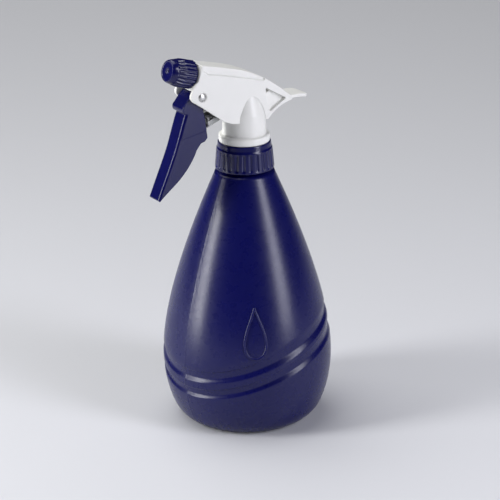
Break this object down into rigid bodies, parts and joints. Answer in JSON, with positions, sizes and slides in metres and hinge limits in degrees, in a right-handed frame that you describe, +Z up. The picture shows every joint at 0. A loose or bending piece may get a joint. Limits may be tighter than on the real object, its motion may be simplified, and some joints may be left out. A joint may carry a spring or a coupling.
{
  "type": "spray bottle",
  "caption": "Trigger spray bottle: round tapering bottle, screw collar and spray head with a pulling trigger, spring-returned pump, turning nozzle and dip tube.",
  "frame": {"origin": "centre of the bottle's flat base, on its axis", "axes": "+Z up along the bottle's axis; +X forward, the way the nozzle sprays; +Y to the sprayer's left seen from behind the trigger hand"},
  "size_m": [0.1101, 0.099, 0.222],
  "materials": {
    "bottle_navy": "satin blow-moulded polyethylene",
    "gloss_navy": "gloss moulded polypropylene",
    "white_shell": "satin white polypropylene",
    "natural_plastic": "natural translucent polyethylene",
    "steel": "drawn stainless steel",
    "seal_rubber": "matte moulded rubber"
  },
  "bodies": {
    "bottle": {"bottle": "bottle_navy"},
    "gasket": {"neck_gasket": "seal_rubber"},
    "head": {"pump_body": "white_shell", "shroud": "white_shell", "pump_cylinder": "natural_plastic", "piston_guide": "natural_plastic", "return_spring": "steel", "pivot_pin": "steel", "swirl_insert": "natural_plastic", "outlet_spring": "steel", "tube_holder": "natural_plastic", "dip_tube": "natural_plastic", "tube_strainer": "natural_plastic"},
    "collar": {"screw_collar": "gloss_navy"},
    "trigger": {"trigger": "gloss_navy"},
    "piston": {"piston": "natural_plastic", "piston_seal": "natural_plastic", "piston_cap": "natural_plastic"},
    "nozzle_slide": {"nozzle_seal_ring": "seal_rubber"},
    "nozzle": {"nozzle_knob": "gloss_navy"},
    "inlet_ball": {"inlet_ball": "steel"},
    "outlet_ball": {"outlet_ball": "steel"}
  },
  "joints": [
    {"name": "head_lift", "type": "slide", "parent": "bottle", "child": "gasket", "axis": [0, 0, 1], "range_m": [0, 0.17]},
    {"name": "head_swivel", "type": "hinge", "parent": "gasket", "child": "head", "pos_m": [0, 0, 0.163], "axis": [0, 0, 1], "continuous": true},
    {"name": "collar_turn", "type": "hinge", "parent": "head", "child": "collar", "pos_m": [0, 0, 0.165], "axis": [0, 0, 1], "continuous": true},
    {"name": "trigger_pull", "type": "hinge", "parent": "head", "child": "trigger", "pos_m": [0.0327, 0, 0.1998], "axis": [0, 1, 0], "range_deg": [0, 25], "stiffness_Nm_per_rad": 0.35, "springref_deg": -20.05},
    {"name": "piston_stroke", "type": "slide", "parent": "head", "child": "piston", "axis": [-0.9397, 0, 0.342], "range_m": [0, 0.0077], "deforming": ["return_spring"]},
    {"name": "nozzle_advance", "type": "slide", "parent": "head", "child": "nozzle_slide", "axis": [0.9563, 0, 0.2924], "range_m": [0, 0.002]},
    {"name": "nozzle_turn", "type": "hinge", "parent": "nozzle_slide", "child": "nozzle", "pos_m": [0.035, 0, 0.2115], "axis": [0.9563, 0, 0.2924], "range_deg": [0, 360]},
    {"name": "inlet_ball_lift", "type": "slide", "parent": "head", "child": "inlet_ball", "axis": [0, 0, 1], "range_m": [0, 0.001]},
    {"name": "outlet_ball_lift", "type": "slide", "parent": "head", "child": "outlet_ball", "axis": [0.9563, 0, 0.2924], "range_m": [0, 0.0006], "stiffness_N_per_m": 40, "springref_m": -0.001, "deforming": ["outlet_spring"]}
  ],
  "couplings": [
    {"joint": "piston_stroke", "follows": "trigger_pull", "m_per_rad": 0.01748},
    {"joint": "nozzle_turn", "follows": "nozzle_advance", "rad_per_m": 3141.6}
  ]
}
